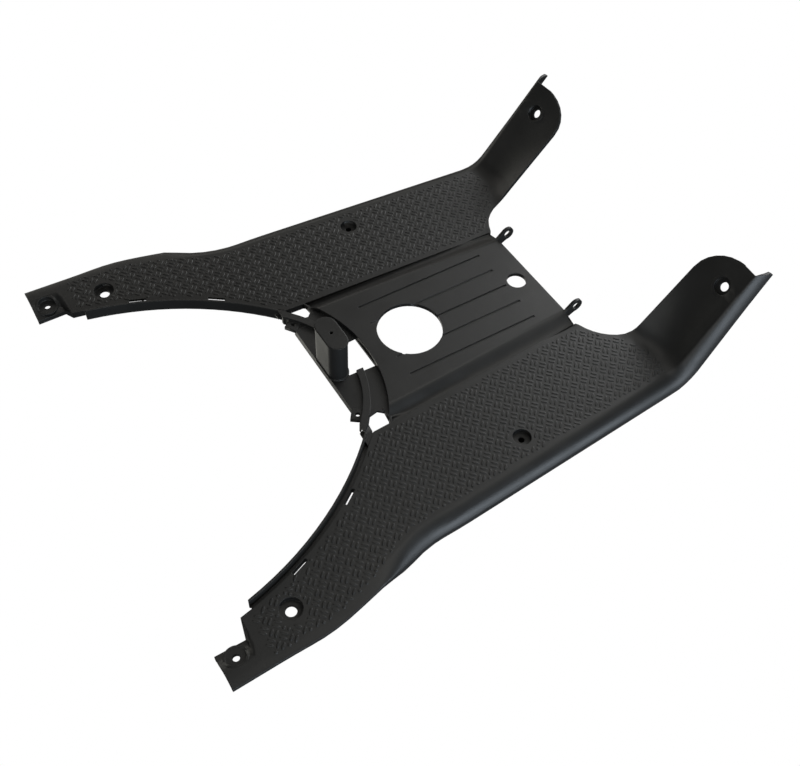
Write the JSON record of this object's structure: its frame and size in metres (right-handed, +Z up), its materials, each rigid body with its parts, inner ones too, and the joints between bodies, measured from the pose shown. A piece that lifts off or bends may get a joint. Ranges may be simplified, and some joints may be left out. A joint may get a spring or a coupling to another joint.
{
  "type": "scooter floorboard",
  "caption": "One-piece moulded scooter floorboard: two footboards joined by a raised tray, with front wings, curved tails and an upright post.",
  "frame": {"origin": "on the large hole's axis, at the tray's top face", "axes": "+X towards the front of the scooter, +Y towards its left side, +Z up"},
  "size_m": [0.5869, 0.4718, 0.1097],
  "materials": {
    "black_plastic": "moulded black polypropylene with a fine grain and a satin sheen"
  },
  "bodies": {
    "root": {"floorboard": "black_plastic"}
  },
  "joints": []
}
